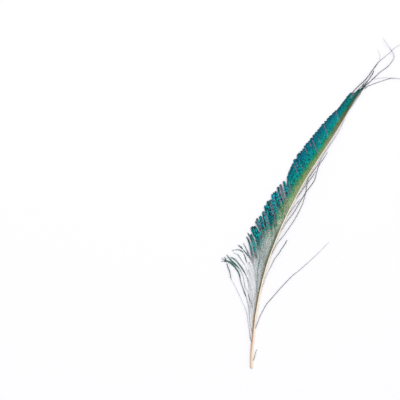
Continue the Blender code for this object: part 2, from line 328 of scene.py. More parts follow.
def addBarbules(bundle, barb, look, thinning):
    # two rows of flat barbules along a barb: each is a strip that bends towards the barb's tip
    dice = bundle["dice"]
    line = barb["line"]
    total = lengthAlong(line)[-1]
    places = np.arange(look["start"] * total, total, look["spacing"])
    jitter = barbShape["jitter"]
    places = np.clip(places + dice.uniform(-jitter, jitter, len(places)) * look["spacing"], 0, total)
    centre = pointsAt(line, places)
    aim = barbShape["aim"]
    before = pointsAt(line, np.clip(places - aim, 0, total))
    ahead = unit(pointsAt(line, np.clip(places + aim, 0, total)) - before)
    across = unit(np.cross(ahead, up))
    share = places / total
    full = np.interp(share, barb["share"], barb["full"])
    size = np.clip((1 - share) / look["taper"], barbShape["taperLeast"], 1) ** barbShape["taperPower"]
    size = look["length"] * size
    size = size * np.clip(look.get("rootShare", 1) + places / barbShape["rootFade"], 0, 1)
    turn = 2 * math.pi * places / look["beadPitch"] + dice.uniform(0, 6.28)
    waver = np.sin(places / look["beadPitch"] + dice.uniform(0, 6.28))
    beads = 0.5 - 0.5 * np.cos(turn + barbShape["beadWaver"] * waver)
    short, few = barbShape["bareLength"], barbShape["bareChance"]
    size = size * (1 - look["beadDepth"] * beads) * (short + (1 - short) * full)
    chance = few + (1 - few) * full
    if thinning:
        number, length = thinning(centre, barb["shift"])
        size, chance = size * length, chance * number
    bend = barbShape["bend"]
    for side in (-1, 1):
        keep = dice.random(len(places)) < chance
        n = int(keep.sum())
        if not n:
            continue
        c, a, x, s, long = centre[keep], ahead[keep], across[keep] * side, share[keep], size[keep]
        long = (long * dice.uniform(*barbShape["lengths"], n))[:, None]
        angle = np.radians(dice.normal(look["angle"], look["angleSpread"], n))[:, None]
        lean = dice.normal(look["lift"], look["liftSpread"], n)[:, None]
        out = unit(a * np.cos(angle) + x * np.sin(angle) + up * lean)
        start = c + x * look["ramus"] * 0.5
        middle = start + out * long * bend
        tip = middle + unit(out + a * look["curl"]) * long * (1 - bend)
        roll = np.radians(dice.normal(0, look["roll"], n))[:, None]
        flat = unit(np.cross(out, up))
        wide = unit(flat * np.cos(roll) + np.cross(out, flat) * np.sin(roll)) * look["width"] / 2
        narrow = wide * barbShape["bendWidth"]
        points = np.stack([start - wide, start + wide, middle - narrow, middle + narrow, tip], axis=1)
        corners = [0, 1, 3, 0, 3, 2, 2, 3, 4]
        faces = (np.arange(n) * 5)[:, None] + corners
        half = look["spacing"] / total / 2
        u = np.clip(s[:, None] + np.array([-half, half, -half, half, 0])[corners], 0, 1)
        v0, v1, v2 = (bundle["rows"] + 0.5 + side * v for v in barbShape["vaneStrip"])
        v = np.array([v0, v0, v1, v1, v2])[corners]
        uvs = np.stack([u, np.broadcast_to(v, u.shape)], axis=-1)
        addToBundle(bundle, points.reshape(-1, 3), faces.reshape(-1, 3), uvs.reshape(-1, 2),
                    toTip=np.repeat(total * (1 - s), 5), full=np.repeat(full[keep], 5),
                    reach=np.tile([0.1, 0.1, 0.6, 0.6, 1.0], n), tone=barb["tone"], shift=barb["shift"])


def growBarb(bundle, line, look, tone=0.5, shift=0.0, full=None, thinning=None):
    # thinning gives the shares of the barbules' number and length at a place
    barb = {"line": line, "share": shareAlong(line), "tone": tone, "shift": shift,
            "full": np.ones(len(line)) if full is None else full}
    addRamus(bundle, barb, look)
    addBarbules(bundle, barb, look, thinning)
    bundle["rows"] += 1


def bundlePiece(name, bundle, finish, slot, nodes, splits=None):
    points = np.concatenate(bundle["points"])
    points[:, 2] = np.maximum(points[:, 2], barbShape["lowest"])
    uvs = np.concatenate(bundle["uvs"])
    uvs[:, 1] /= bundle["rows"]
    marks = {mark: np.concatenate(values) for mark, values in bundle["marks"].items()}
    x, y = points[:, 0], points[:, 1]
    marks["height"] = y
    marks["beside"] = shaftX(y) - x
    marks["band"] = marks["beside"] / greenWidth(y) + marks.pop("shift")
    if splits:
        marks["split"] = nearSplit(points, splits)
    faces = np.concatenate(bundle["faces"])
    print(f"{name}: {bundle['rows']} barbs, {len(faces)} triangles")
    makePiece(name, points, [faces], finish, slot, nodes, marks, uvs)


# finishes

vane = {
    # how far the green reaches from the shaft, at each height up the feather
    "greenWidth": [(30, 70), (88, 50), (93, 38), (97, 25), (100, 18), (105, 15), (111, 15.5), (117, 17),
                   (124, 17), (130, 15.8), (134, 12.8), (137, 11), (142, 10.6), (148, 10.2), (157, 10.8),
                   (167, 8.6), (175, 8.9), (182, 8.2), (192, 7.2), (202, 6.4), (212, 6.5), (222, 5.7),
                   (232, 5.3), (242, 4.7), (252, 3.6), (262, 3.6), (275, 3)],
    # in green widths: where the colours meet, and where the shades below begin and are complete
    "bandLimits": [(0.3, 0.75), (0.8, 1.2), (1.5, 3.0)],
    "slateFrom": (0.9, 1.3), "hueFrom": (0.6, 1.1), "dimFrom": (0.4, 1.0), "glintFrom": (0.9, 1.2),
    "bareFrom": (0.75, 1.05),
    "slateGrain": (0.3, 0.05), "glintGrain": (0.8, 1),  # in the darkest and the brightest grain
    "darkHue": 0.492, "nearHue": 0.503,  # 0.5 leaves a colour as it is
    "mottleFrom": (0.2, 0.8),       # mottle that is taken as darkest and as brightest
    "stemTo": 0.3,                  # the stem's shade ends this far along a barbule
    "bareFull": (0.5, 0.3),         # fullness where a barb begins to show its stem, and where it shows wholly
    "edgeFrom": 0.4,                # a barb is darkest over this last length, in millimetres
    "bump": 0.35, "bumpDepth": 0.04,
}


def greenWidth(y):
    return profile(y, vane["greenWidth"])


def newFinish(name):
    finish = bpy.data.materials.new(name)
    finish.use_nodes = True
    return finish, finish.node_tree, finish.node_tree.nodes["Principled BSDF"]


def addNode(tree, kind, **settings):
    node = tree.nodes.new("ShaderNode" + kind)
    for key, value in settings.items():
        setattr(node, key, value)
    return node


def put(tree, socket, value):
    # links a socket to another, or sets its value
    if isinstance(value, bpy.types.NodeSocket):
        tree.links.new(value, socket)
    elif isinstance(value, (tuple, list)) and socket.type == "RGBA":
        socket.default_value = (*value[:3], 1)
    else:
        socket.default_value = value


def mixColour(tree, share, first, second):
    node = addNode(tree, "Mix", data_type="RGBA")
    put(tree, node.inputs["Factor"], share)
    put(tree, node.inputs[6], first)
    put(tree, node.inputs[7], second)
    return node.outputs[2]


def mapRange(tree, value, fromLow, fromHigh, toLow, toHigh, smooth=False):
    node = addNode(tree, "MapRange", interpolation_type="SMOOTHSTEP" if smooth else "LINEAR")
    for socket, given in zip(node.inputs, (value, fromLow, fromHigh, toLow, toHigh)):
        put(tree, socket, given)
    return node.outputs["Result"]


def calculate(tree, operation, *given):
    node = addNode(tree, "Math", operation=operation)
    for socket, value in zip(node.inputs, given):
        put(tree, socket, value)
    return node.outputs[0]


def attribute(tree, name):
    return addNode(tree, "Attribute", attribute_name=name).outputs["Fac"]


def feed(tree, node, **values):
    # gives a node's inputs what is listed: an underscore stands for the space in an input's name
    for label, value in values.items():
        put(tree, node.inputs[label.replace("_", " ")], value)
    return node.outputs


def addNoise(tree, place, scale, detail):
    return feed(tree, addNode(tree, "TexNoise"), Vector=place, Scale=scale, Detail=detail)["Fac"]


def addBump(tree, shader, height, strength, distance):
    bump = feed(tree, addNode(tree, "Bump"), Strength=strength, Distance=distance * mm, Height=height)
    put(tree, shader.inputs["Normal"], bump["Normal"])


def shadeColour(tree, colour, value, hue=0.5):
    return feed(tree, addNode(tree, "HueSaturation"), Color=colour, Value=value, Hue=hue)["Color"]


def climb(tree, stops):
    # a colour that changes up the feather: each stop is a height in millimetres, red, green and blue
    low, high = stops[0][0], stops[-1][0]
    ramp = addNode(tree, "ValToRGB")
    marks = ramp.color_ramp.elements
    while len(marks) < len(stops):
        marks.new(0.5)
    for mark, (height, *colour) in zip(marks, stops):
        mark.position = (height - low) / (high - low)
        mark.color = (*colour, 1)
    put(tree, ramp.inputs["Fac"], mapRange(tree, attribute(tree, "height"), low, high, 0, 1))
    return ramp.outputs["Color"]


def newGroup(name, inputs, outputs):
    tree = bpy.data.node_groups.new(name, "ShaderNodeTree")
    kinds = {"value": "NodeSocketFloat", "colour": "NodeSocketColor"}
    for way, sockets in (("INPUT", inputs), ("OUTPUT", outputs)):
        for label, kind in sockets:
            tree.interface.new_socket(name=label, in_out=way, socket_type=kinds[kind])
    return tree, tree.nodes.new("NodeGroupInput").outputs, tree.nodes.new("NodeGroupOutput").inputs


mottleLook = {                      # of the broad patches and of the fine grain
    "turn": 21, "stretch": (1.0, 1.7, 2.2),
    "broadDetail": 1.5, "broadFrom": (0.36, 0.64),
    "fineDetail": 1.0, "fineFrom": (0.38, 0.62),
}


def makeMottle():
    # soft patches of brighter and darker barbules, and a finer grain over them
    given = ["Patch", "Grain", "Tone", "Tone Share", "Grain Share"]
    made = ["Mottle", "Fine", "Broad"]
    tree, given, result = newGroup("mottle", [(s, "value") for s in given], [(s, "value") for s in made])
    place = addNode(tree, "TexCoord").outputs["Object"]
    place = feed(tree, addNode(tree, "Mapping", vector_type="TEXTURE"), Vector=place,
                 Rotation=(0, 0, math.radians(mottleLook["turn"])), Scale=mottleLook["stretch"])["Vector"]
    broad = addNoise(tree, place, given["Patch"], mottleLook["broadDetail"])
    broad = mapRange(tree, broad, *mottleLook["broadFrom"], 0, 1)
    fine = addNoise(tree, place, given["Grain"], mottleLook["fineDetail"])
    fine = mapRange(tree, fine, *mottleLook["fineFrom"], 0, 1)
    both = mapRange(tree, given["Grain Share"], 0, 1, broad, fine)
    put(tree, result["Mottle"], mapRange(tree, given["Tone Share"], 0, 1, both, given["Tone"]))
    put(tree, result["Fine"], fine)
    put(tree, result["Broad"], broad)
    return tree


def makeIrisBands():
    # colours across the vane, from the shaft outwards
    steps = ["Near Shaft", "Middle", "Teal", "Deep"]
    tree, given, result = newGroup("irisBands", [("Band", "value")] + [(s, "colour") for s in steps],
                                   [("Color", "colour")])
    colour = given[steps[0]]
    for step, (low, high) in zip(steps[1:], vane["bandLimits"]):
        colour = mixColour(tree, mapRange(tree, given["Band"], low, high, 0, 1, True), colour, given[step])
    put(tree, result["Color"], colour)
    return tree


mottleGroup = makeMottle()
irisGroup = makeIrisBands()


def vaneFinish(name, look):
    # iridescent barbules: bands of colour, mottled, dark at the barbs' tips and lightly glossy
    finish, tree, shader = newFinish(name)
    height = attribute(tree, "height")
    mottle = feed(tree, addNode(tree, "Group", node_tree=mottleGroup), Patch=look["patch"],
                  Grain=look["grain"], Tone=attribute(tree, "tone"), Tone_Share=look["toneShare"],
                  Grain_Share=look["grainShare"])
    fine = mottle["Fine"]
    wander = mapRange(tree, mottle["Broad"], 0, 1, -look["wander"], look["wander"])
    speckle = mapRange(tree, fine, 0, 1, -look["speckle"], look["speckle"])
    band = calculate(tree, "ADD", attribute(tree, "band"), calculate(tree, "ADD", wander, speckle))
    colour = feed(tree, addNode(tree, "Group", node_tree=irisGroup), Band=band,
                  Near_Shaft=climb(tree, look["nearShaft"]), Middle=climb(tree, look["middle"]),
                  Teal=climb(tree, look["teal"]), Deep=climb(tree, look["deep"]))["Color"]
    slate = calculate(tree, "MULTIPLY", mapRange(tree, fine, *vane["slateGrain"], 0, look["slateShare"]),
                      mapRange(tree, band, *vane["slateFrom"], 0, 1))
    colour = mixColour(tree, slate, colour, look["slate"])
    hue = mapRange(tree, band, *vane["hueFrom"], vane["nearHue"], look["hueTurn"])
    hue = mapRange(tree, fine, 1, 0, vane["darkHue"], hue)
    dim = mapRange(tree, band, *vane["dimFrom"], look["nearDim"], look["dim"])
    bright = mapRange(tree, band, *look["brightFrom"], look["nearBright"], look["bright"])
    glint = mapRange(tree, band, *vane["glintFrom"], 1, look["glint"])
    glint = mapRange(tree, fine, *vane["glintGrain"], 1, glint)
    value = mapRange(tree, mottle["Mottle"], *vane["mottleFrom"], dim, bright)
    value = calculate(tree, "MULTIPLY", glint, value)
    if "calm" in look:
        calm = mapRange(tree, height, *look["calmFrom"], 0, look["calm"])
        value = mapRange(tree, calm, 0, 1, value, look["calmValue"])
    stem = mapRange(tree, attribute(tree, "reach"), 0, vane["stemTo"], look["stem"], 1)
    colour = shadeColour(tree, colour, calculate(tree, "MULTIPLY", stem, value), hue)
    if "base" in look:
        beside = mapRange(tree, attribute(tree, "beside"), *look["baseReach"], look["baseShare"], 0, True)
        above = mapRange(tree, height, *look["baseFrom"], 0, 1, True)
        below = mapRange(tree, height, *look["baseTo"], 1, 0, True)
        beside = calculate(tree, "MULTIPLY", beside, calculate(tree, "MULTIPLY", above, below))
        colour = mixColour(tree, beside, colour, look["base"])
    if "bare" in look:
        bare = mapRange(tree, attribute(tree, "full"), *vane["bareFull"], 0, look["bareShare"])
        bare = calculate(tree, "MULTIPLY", bare, mapRange(tree, band, *vane["bareFrom"], 0, 1))
        colour = mixColour(tree, bare, colour, look["bare"])
    if "split" in look:
        parted = calculate(tree, "MULTIPLY", attribute(tree, "split"), look["splitShare"])
        colour = mixColour(tree, parted, colour, look["split"])
    edge = mapRange(tree, attribute(tree, "toTip"), look["edgeReach"], vane["edgeFrom"],
                    0, look["edgeShare"], True)
    put(tree, shader.inputs["Base Color"], mixColour(tree, edge, colour, look["edge"]))
    put(tree, shader.inputs["Roughness"], mapRange(tree, fine, 0, 1, *look["rough"]))
    shader.inputs["Metallic"].default_value = look["metallic"]
    shader.inputs["Specular IOR Level"].default_value = look["specular"]
    addBump(tree, shader, fine, vane["bump"], vane["bumpDepth"])
    return finish


# the web: closed barbs, hooked to each other, above the fan

webLook = {
    "rootSpacing": 0.72, "rootSpread": (0.85, 1.15),
    "rootRise": 0.25,               # the roots' height above the shaft's middle, as a share of its half width
    "ends": (2, 1),                 # how far the web goes on below its lowest root, above its highest
    "lineSpacing": 0.8,
    "tipHeight": (0.3, 0.9), "heightSpread": 0.08,  # above the table
    "bow": -0.025,                  # share of a barb's length that its middle stands to the left
    "wobble": 0.06,                 # of that middle
    # a lobe's lowest barb stands so far past the even edge and its highest so far short of it, least and most
    "step": (0.35, 1.15), "stepShares": (0.3, 0.8), "stepFades": (240, 222),
    "uneven": (-0.3, 0.8),          # how far whole lobes stand past it, between these heights
    "unevenFrom": (166, 176), "unevenTo": (220, 204),
    "rounded": 0.3, "ragged": 0.4,  # how far tips fall short at a lobe's two sides, and anywhere by chance
    "sameTone": 0.45,               # chance that a barb is as bright as the one before it
    "lobeTone": 0.4,                # the lobe's share in its barbs' brightness
    "bandSpread": 0.08,             # of the barbs' bands of colour, in green widths
    "splitThins": 0.45,             # share of the barbules that a split takes away
    "reach": [(155, 0.75), (215, 0.75), (229, 0.35), (240, 0), (262, 0), (268, 0.4)],  # added at each height
    "lobes": [                      # height up the shaft of a lobe's roots, its tip
        (155.5, 36, 185), (162.5, 38, 190.8), (168.5, 40, 195.3), (172.5, 41.6, 198.2), (176, 43.2, 201.9),
        (178.5, 45.6, 202.4), (181, 45.8, 207.4), (184.5, 48.6, 208.6), (187.5, 50, 210.9), (190.5, 52, 213),
        (193.5, 53.6, 215), (197, 55.8, 218.3), (200, 57.8, 220.4), (204, 60.3, 224.1), (208, 62.6, 226.2),
        (212, 65, 229.6), (215, 67, 231.9), (218, 69, 234.5), (222, 71.8, 238.1), (226, 74.4, 240.7),
        (229, 76.7, 243.7), (233, 79.4, 246.7), (237, 82, 249.5), (241, 84.4, 251.6), (244, 86.9, 254),
        (248, 89.8, 257.8), (251, 91.7, 260.3), (255, 93.9, 263), (258, 95.9, 266), (261, 98.2, 268.8),
        (262.8, 99.8, 269.4), (264.3, 101.6, 268.8), (265.6, 103.2, 269.2), (267, 104.8, 270.3),
        (268.6, 106.5, 271.4), (270, 108.4, 272.7), (271.4, 110.4, 274.2), (272.4, 112.3, 275.4),
        (273.2, 113.8, 276.2),
    ],
    "splits": [                     # where the barbs part and their stems show: X, Y of both ends, width
        (42, 197.7, 46.2, 188.3, 0.55), (44.7, 199.2, 46.2, 195, 0.5), (61.8, 219.4, 66.6, 207.6, 0.75),
        (61, 222, 62.6, 218, 0.5), (67, 223, 68.6, 219, 0.5), (72, 238, 76.2, 226.8, 0.55),
        (85, 250.2, 86.3, 242.4, 0.5), (38, 181, 38.5, 169, 0.6), (36, 175, 36.6, 169, 0.5),
        (58.2, 218.5, 59.2, 216, 0.8), (53.5, 214.3, 55.6, 208.8, 0.6), (49.5, 196.2, 50.5, 194, 0.7),
        (101.8, 269.6, 99.3, 264.4, 0.9), (104.2, 269.6, 101.6, 265.4, 0.5),
    ],
    "barbs": {"ramus": 0.075, "ramusTip": 0.05, "rootShare": 0.35, "start": 0, "spacing": 0.17,
              "length": 1.15, "taper": 0.05, "beadPitch": 2.3, "beadDepth": 0.15, "angle": 40,
              "angleSpread": 6, "lift": 0.1, "liftSpread": 0.08, "curl": 0.35, "roll": 14, "width": 0.2},
    "finish": {
        "nearShaft": [(150, 0.38, 0.45, 0.27), (165, 0.33, 0.39, 0.22), (182, 0.28, 0.33, 0.155),
                      (193, 0.25, 0.3, 0.14), (205, 0.27, 0.305, 0.145), (225, 0.29, 0.245, 0.14),
                      (243, 0.16, 0.12, 0.045), (254, 0.075, 0.1, 0.035), (262, 0.03, 0.1, 0.05),
                      (268, 0.01, 0.08, 0.05)],
        "middle": [(150, 0.15, 0.31, 0.17), (182, 0.08, 0.245, 0.088), (193, 0.055, 0.23, 0.078),
                   (205, 0.035, 0.265, 0.1), (235, 0.06, 0.22, 0.1), (243, 0.08, 0.19, 0.08),
                   (254, 0.01, 0.17, 0.07), (262, 0, 0.13, 0.08), (270, 0, 0.09, 0.07)],
        "teal": [(185, 0, 0.225, 0.205), (205, 0, 0.23, 0.22), (225, 0, 0.265, 0.245),
                 (243, 0, 0.255, 0.265), (258, 0, 0.195, 0.185)],
        "deep": [(185, 0, 0.142, 0.195), (215, 0, 0.13, 0.18), (250, 0, 0.132, 0.18), (262, 0, 0.145, 0.15)],
        "slate": (0.055, 0.12, 0.18), "slateShare": 0.42, "split": (0.15, 0.14, 0.19), "splitShare": 0.85,
        "edge": (0.003, 0.035, 0.06), "edgeReach": 2.4, "edgeShare": 0.7,
        "patch": 380, "grain": 1300, "wander": 0.12, "speckle": 0.16, "toneShare": 0.22, "grainShare": 0.85,
        "nearDim": 0.67, "nearBright": 1.1, "dim": 0.24, "bright": 1.47, "brightFrom": (0.4, 1.0),
        "glint": 1.25, "hueTurn": 0.525, "stem": 0.6, "rough": (0.34, 0.55), "metallic": 0.7,
        "specular": 0.12,
        "calm": 0.35, "calmValue": 0.83, "calmFrom": (195, 235),  # the upper web is more even
    },
}


def nearSplit(points, splits):
    # 1 on a split and 0 beside it
    found = np.zeros(len(points))
    for *ends, width in splits:
        a, b = np.array(ends, float).reshape(2, 2)
        t = np.clip(((points[:, :2] - a) @ (b - a)) / ((b - a) @ (b - a)), 0, 1)
        gap = np.linalg.norm(points[:, :2] - (a + t[:, None] * (b - a)), axis=1)
        found = np.maximum(found, 1 - ease(gap, width * 0.5, width))
    return found


def lift(line, rootHeight, tipHeight, power=1.6):
    # gives a flat line its height, falling from the shaft to the barb's tip
    return np.column_stack([line, tipHeight + (rootHeight - tipHeight) * (1 - shareAlong(line) ** power)])


def growWeb():
    look = webLook
    bundle = newBundle(12)
    dice = bundle["dice"]
    lobes = np.array(look["lobes"])
    heights = lobes[:, 0]
    limits = stretchLimits(heights, look["ends"])
    lobeHeight = dice.uniform(*look["tipHeight"], len(lobes))
    lobeTone = dice.uniform(0, 1, len(lobes))
    low, more = look["stepShares"]
    lobeStep = dice.uniform(*look["step"], len(lobes)) * (low + more * ease(heights, *look["stepFades"]))
    lobeOut = dice.uniform(*look["uneven"], len(lobes)) * ease(heights, *look["unevenTo"])
    lobeOut = lobeOut * ease(heights, *look["unevenFrom"])

    def thinning(at, shift):
        return 1 - look["splitThins"] * nearSplit(at, look["splits"]), 1

    strand = 0.5
    for y, n, place, root in rootsAlong(limits, look, dice):
        tip = np.array([np.interp(y, heights, lobes[:, 1]), np.interp(y, heights, lobes[:, 2])])
        ahead = unit(tip - root[:2])
        right = np.array([ahead[1], -ahead[0]])
        reach = profile(y, look["reach"]) + lobeOut[n] - place * lobeStep[n]
        tip = tip + ahead * (reach - look["rounded"] * place ** 4 - dice.uniform(0, look["ragged"]))
        length = np.linalg.norm(tip - root[:2])
        middle = (root[:2] + tip) / 2 + right * look["bow"] * length + dice.normal(0, look["wobble"], 2)
        line = resample(smoothCurve([root[:2], middle, tip]), look["lineSpacing"])
        rootHeight = root[2] + look["rootRise"] * shaftHalf(y)
        line = lift(line, rootHeight, lobeHeight[n] + dice.normal(0, look["heightSpread"]))
        strand = strand if dice.random() < look["sameTone"] else dice.random()
        tone = look["lobeTone"] * lobeTone[n] + (1 - look["lobeTone"]) * strand
        growBarb(bundle, line, look["barbs"], tone, look["bandSpread"] * dice.normal(), thinning=thinning)
    finish = vaneFinish("webIris", look["finish"])
    bundlePiece("web_barbs", bundle, finish, "web_teal", ["web"], look["splits"])


growWeb()

# the fan: open barbs that draw together in locks towards their tips

fanLook = {
    "rootSpacing": 0.82, "rootSpread": (0.8, 1.2), "rootRise": 0.2,
    "ends": (3, 2.4),
    "lineSpacing": 0.8,
    "tipHeight": (0.3, 1.1), "heightSpread": 0.12,
    "wobble": 0.08, "rounded": 0.5, "ragged": 1.0,
    "least": 0.2, "fullFrom": (62, 112),  # how full the lowest barbs are, and where they become full
    "sameTone": 0.4, "lockTone": 0.2, "tones": [0.0, 0.12, 0.3, 0.6, 1.0],
    "bandSpread": (0.1, 0.11),      # of the locks, of the barbs
    "spread": 0.8,                  # width of a lock before it narrows, as a share of its stretch of shaft
    "narrowing": (1.7, 3.0),        # how late a lock narrows, at the bottom and at the top of the fan
    "narrowFrom": (85, 120),
    "locks": [                      # height up the shaft of the roots, width at the tip, the line to the tip
        (31, 0.3, [(0.2, 44), (-1, 56), (-2.3, 64)]),
        (40, 0.3, [(1.6, 52), (0.6, 62), (-0.3, 68), (-1.6, 74), (-3, 80), (-4.3, 83)]),
        (43.5, 0.6, [(2.2, 55), (0.9, 64), (-0.8, 72), (-2.6, 79), (-4.4, 85)]),
        (47, 0.3, [(2.8, 58), (1, 68), (-0.4, 76), (-2, 83), (-4.2, 90), (-6, 95.7)]),
        (50.5, 0.6, [(3.2, 63), (1.6, 72), (0.2, 80), (-1.6, 87), (-3.6, 93)]),
        (54, 0.3, [(3.5, 68), (1.8, 77), (0.2, 84), (-1.8, 91), (-3.4, 96), (-5.2, 101), (-6.6, 105.5),
                    (-8.4, 109.4)]),
        (57.5, 1.2, [(4.2, 72), (3, 80), (1.2, 88), (-0.8, 94.5), (-3, 100.5)]),
        (61, 0.4, [(4.6, 78), (3.4, 88), (1.5, 98), (-0.5, 103), (-3, 105.8), (-6, 109.5), (-8.8, 112.8)]),
        (65, 0.2, [(4.4, 86), (2, 96), (-1, 103), (-3, 108), (-5.7, 114), (-8.5, 119.5)]),
        (69, 0.5, [(5.5, 86), (3.6, 96), (1.6, 104), (0, 111), (-1.3, 116.5), (-3.3, 122.5), (-5.5, 125.5)]),
        (75, 0.4, [(8, 90), (6.4, 98), (5, 104.5), (3.2, 111.5), (1.5, 117.5), (-0.5, 123), (-4, 129.5)]),
        (79, 1.6, [(8.5, 96), (6.8, 105), (4.6, 113), (2.4, 119.5), (0.8, 124), (-0.8, 128.4)]),
        (84, 3, [(10, 100), (8.3, 110), (6.6, 118.5), (5.2, 123.5), (3, 128), (0.8, 132), (0.3, 136)]),
        (88, 2.4, [(11, 106), (9, 116), (7.5, 124), (6, 129), (4.2, 133), (2.5, 136.2)]),
        (93, 0.8, [(12.5, 110), (11, 119), (10, 125), (9, 130), (7.5, 134.5), (5.5, 137.5), (3.5, 141)]),
        (97, 2, [(13.5, 116), (11.5, 126), (10, 133), (7.8, 138), (6, 141), (5, 144.2)]),
        (101, 3.1, [(15, 120), (12.5, 130), (11, 135.5), (10, 140), (9.2, 143.5), (8.4, 146.6)]),
        (107, 3.3, [(18, 124), (16, 132), (14.6, 138), (13.8, 142.5), (12.5, 147.5), (11.4, 151)]),
        (113, 3.2, [(20.3, 128), (19.2, 135), (19.3, 140), (18, 145), (15.8, 150.5), (14.4, 155),
                    (13.8, 157.2)]),
        (119, 2.9, [(22.8, 134), (21.3, 142), (20.5, 147), (18.2, 152.5), (17, 156), (16.8, 159),
                    (17.1, 161.8)]),
        (125, 2.2, [(25, 140), (23, 148), (21.7, 153), (20.8, 156.5), (20, 159.6), (19, 161.4),
                    (17.6, 162)]),
        (130.5, 1.7, [(26.8, 146), (24.4, 152.5), (23.2, 157.5), (22, 162), (21, 165.6), (20.5, 168.4)]),
        (135, 1.8, [(28.6, 150), (26, 156), (24.8, 161), (23.6, 165), (22.6, 168), (22.2, 169.9)]),
        (138.5, 1.2, [(29.8, 153), (27.4, 159), (25.7, 165), (24.6, 168.5), (23.8, 171)]),
        (142, 2.6, [(31.2, 158), (28.9, 164), (27.4, 169), (26.7, 172), (26.2, 175.7)]),
        (146.5, 2.2, [(33.2, 160), (30.8, 167), (29.8, 172), (29.1, 175), (28.7, 178)]),
        (151, 2, [(36.4, 163), (34.6, 169.5), (33.5, 175), (32.8, 178), (32.4, 181.2)]),
    ],
    "sparse": {54: 0.6, 57.5: 0.6, 61: 0.58, 65: 0.4},  # how full these locks are
    "dull": {84: 0.45, 88: 0.6},    # and how bright these
    "barbs": {"ramus": 0.06, "ramusTip": 0.06, "start": 0.02, "spacing": 0.16, "length": 1.2, "taper": 0.05,
              "beadPitch": 1.7, "beadDepth": 0.3, "angle": 38, "angleSpread": 8, "lift": 0.06,
              "liftSpread": 0.14, "curl": 0.4, "roll": 26, "width": 0.15},
    "beads": {"below": 72, "depth": 0.7},  # the lowest locks' barbs are beaded
    # bare barbs at a lock's two sides; within it their share rises, falls and rises with the lock's height
    "border": {"ramus": 0.24, "ramusTip": 0.18, "from": 0.84, "rise": 0.7, "bare": 0.75,
               "bareFrom": (0.25, 0.45), "inside": 0.16, "insideFrom": (84, 96), "insideLess": 0.65,
               "insideTo": (104, 116), "insideTop": 0.13, "topFrom": (122, 133)},
    # shares of the barbules' number and length near the shaft, with less low down and nearly all high up
    "gauze": {"number": 0.25, "length": 0.45, "band": (0.75, 1.1), "lowest": 0.06, "from": (55, 105),
              "highest": 0.95, "closed": (105, 150)},
    "finish": {
        "nearShaft": [(30, 0.72, 0.72, 0.73), (50, 0.68, 0.69, 0.71), (75, 0.64, 0.68, 0.7),
                      (92, 0.53, 0.62, 0.61), (115, 0.6, 0.67, 0.61), (135, 0.5, 0.56, 0.45),
                      (148, 0.42, 0.47, 0.35), (157, 0.41, 0.46, 0.31), (164, 0.37, 0.43, 0.26)],
        "middle": [(30, 0.7, 0.72, 0.73), (75, 0.55, 0.6, 0.61), (86, 0.42, 0.51, 0.51),
                   (97, 0.38, 0.48, 0.46), (115, 0.4, 0.52, 0.47), (132, 0.2, 0.36, 0.24),
                   (146, 0.13, 0.33, 0.15), (158, 0.15, 0.33, 0.14)],
        "teal": [(98, 0.07, 0.13, 0.13), (110, 0, 0.2, 0.2), (122, 0, 0.235, 0.245), (134, 0, 0.2, 0.215),
                 (143, 0, 0.15, 0.17), (156, 0, 0.19, 0.2), (172, 0, 0.2, 0.23)],
        "deep": [(98, 0.05, 0.12, 0.14), (110, 0, 0.15, 0.19), (130, 0, 0.145, 0.185), (146, 0, 0.19, 0.23),
                 (156, 0, 0.235, 0.275), (172, 0, 0.18, 0.235)],
        "slate": (0.10, 0.13, 0.20), "slateShare": 0.4, "bare": (0.36, 0.28, 0.35), "bareShare": 0.9,
        "base": (0.10, 0.155, 0.115), "baseShare": 0.9,  # the shaded foot of the barbs: reach and heights
        "baseReach": (1.6, 3.6), "baseFrom": (45, 62), "baseTo": (126, 146),
        "edge": (0.003, 0.03, 0.03), "edgeReach": 2.6, "edgeShare": 0.75,
        "patch": 420, "grain": 850, "wander": 0.15, "speckle": 0.3, "toneShare": 0.42, "grainShare": 0.9,
        "nearDim": 0.7, "nearBright": 1.24, "dim": 0.12, "bright": 1.85, "brightFrom": (0.9, 1.5),
        "glint": 1.5, "hueTurn": 0.53, "stem": 0.7, "rough": (0.36, 0.58), "metallic": 0.6, "specular": 0.15,
    },
}


